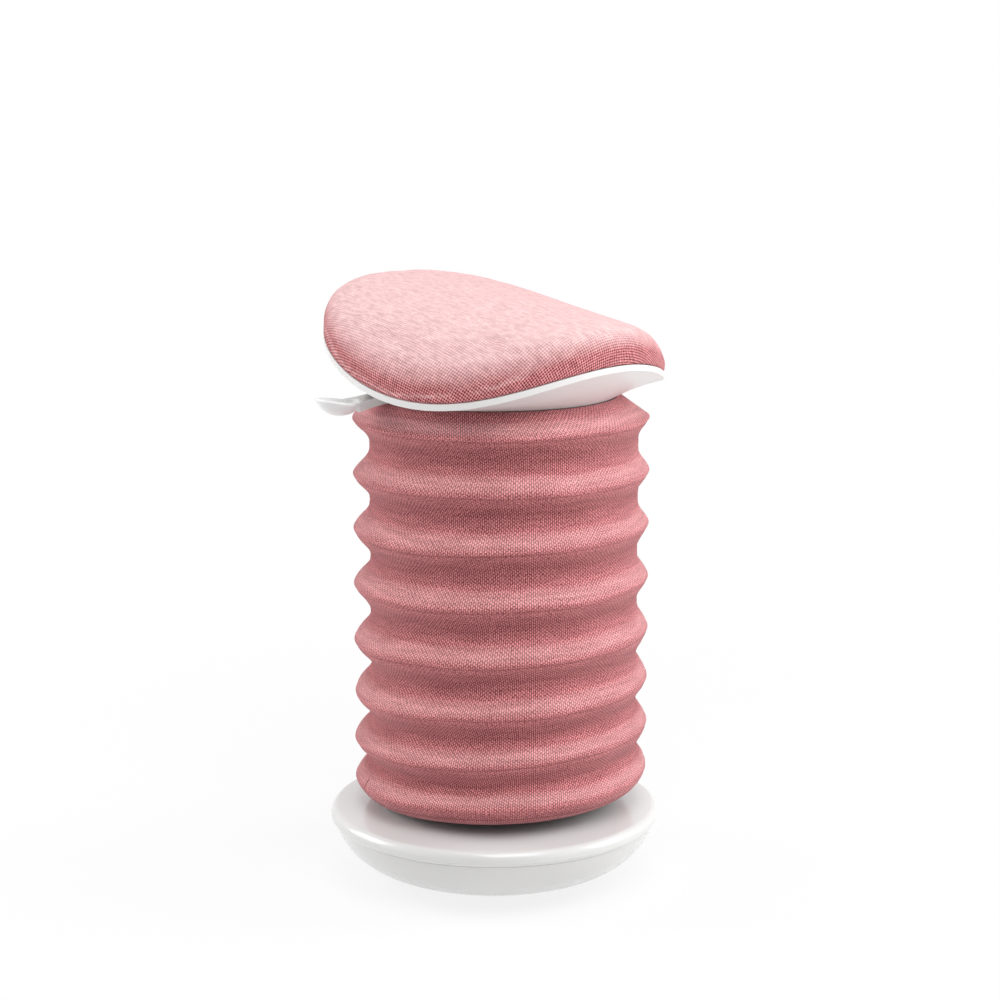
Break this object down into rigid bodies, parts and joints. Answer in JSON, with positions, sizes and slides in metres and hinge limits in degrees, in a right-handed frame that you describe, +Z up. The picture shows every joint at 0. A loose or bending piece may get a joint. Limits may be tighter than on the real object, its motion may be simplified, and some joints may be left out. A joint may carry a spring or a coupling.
{
  "type": "wobble stool",
  "caption": "Height-adjustable wobble stool: saddle-shaped round seat pad in a plastic shell, gas column inside a ribbed fabric bellows, release lever and a weighted rocking foot.",
  "frame": {"origin": "middle of the flat in the rocker sole on which the stool rests", "axes": "+Z up along the column, -Y towards the sitter's front, +X towards the sitter's left, so the release lever is near -X"},
  "size_m": [0.3753, 0.355, 0.6388],
  "materials": {
    "sole_rubber": "matt moulded rubber",
    "foot_plastic": "glossy white moulded plastic",
    "ballast_iron": "rough casting, painted grey",
    "dark_plastic": "matt dark moulded plastic",
    "zinc_steel": "zinc-plated steel",
    "column_paint": "black powder coat",
    "bearing_steel": "ground bearing steel",
    "cage_brass": "stamped brass",
    "rod_chrome": "hard chrome, ground",
    "bumper_rubber": "matt moulded rubber",
    "valve_aluminium": "turned aluminium",
    "shell_plastic": "glossy white moulded plastic",
    "board_wood": "raw moulded plywood",
    "foam": "open-cell seat foam",
    "seat_fabric": "pink melange knit",
    "plate_steel": "black powder coat",
    "lever_plastic": "glossy white moulded plastic",
    "bellows_fabric": "pink melange stretch knit",
    "hoop_plastic": "natural nylon"
  },
  "bodies": {
    "base": {"rubber_sole": "sole_rubber", "base_bowl": "foot_plastic", "base_cover": "foot_plastic", "ballast_ring": "ballast_iron", "base_hub": "dark_plastic", "hub_screws": "zinc_steel", "cover_screws": "zinc_steel", "column_tube": "column_paint", "guide_bush": "dark_plastic", "bearing_bottom_washer": "bearing_steel", "bearing_rollers": "bearing_steel", "bearing_cage": "cage_brass"},
    "rod": {"piston_rod": "rod_chrome", "piston_head": "dark_plastic", "rod_clip": "zinc_steel", "bearing_top_washer": "bearing_steel", "rubber_bumper": "bumper_rubber", "hem_ring": "hoop_plastic"},
    "seat": {"gas_cylinder": "column_paint", "cylinder_gland": "dark_plastic", "valve_block": "valve_aluminium", "seat_plate": "plate_steel", "taper_socket": "plate_steel", "seat_shell": "shell_plastic", "seat_board": "board_wood", "board_screws": "zinc_steel", "seat_foam": "foam", "seat_cover": "seat_fabric", "plate_screws": "zinc_steel", "ring_screws": "zinc_steel", "bellows_top_ring": "dark_plastic", "bellows_cover": "bellows_fabric", "fold_hoops": "hoop_plastic", "lever_bracket": "plate_steel", "lever_pin": "zinc_steel"},
    "lever": {"release_lever": "lever_plastic"},
    "pin": {"release_pin": "bearing_steel"}
  },
  "joints": [
    {"name": "seat_swivel", "type": "hinge", "parent": "base", "child": "rod", "pos_m": [0, 0, 0], "axis": [0, 0, 1], "continuous": true},
    {"name": "seat_height", "type": "slide", "parent": "rod", "child": "seat", "axis": [0, 0, 1], "range_m": [-0.13, 0], "deforming": ["bellows_cover", "fold_hoops"]},
    {"name": "lever_lift", "type": "hinge", "parent": "seat", "child": "lever", "pos_m": [-0.03864, 0.01035, 0.5408], "axis": [0.2588, 0.9659, 0], "range_deg": [0, 5], "stiffness_Nm_per_rad": 1, "springref_deg": -17.19},
    {"name": "release_pin_slide", "type": "slide", "parent": "seat", "child": "pin", "axis": [0, 0, -1], "range_m": [0, 0.0036]}
  ],
  "couplings": [
    {"joint": "release_pin_slide", "follows": "lever_lift", "m_per_rad": 0.04}
  ]
}
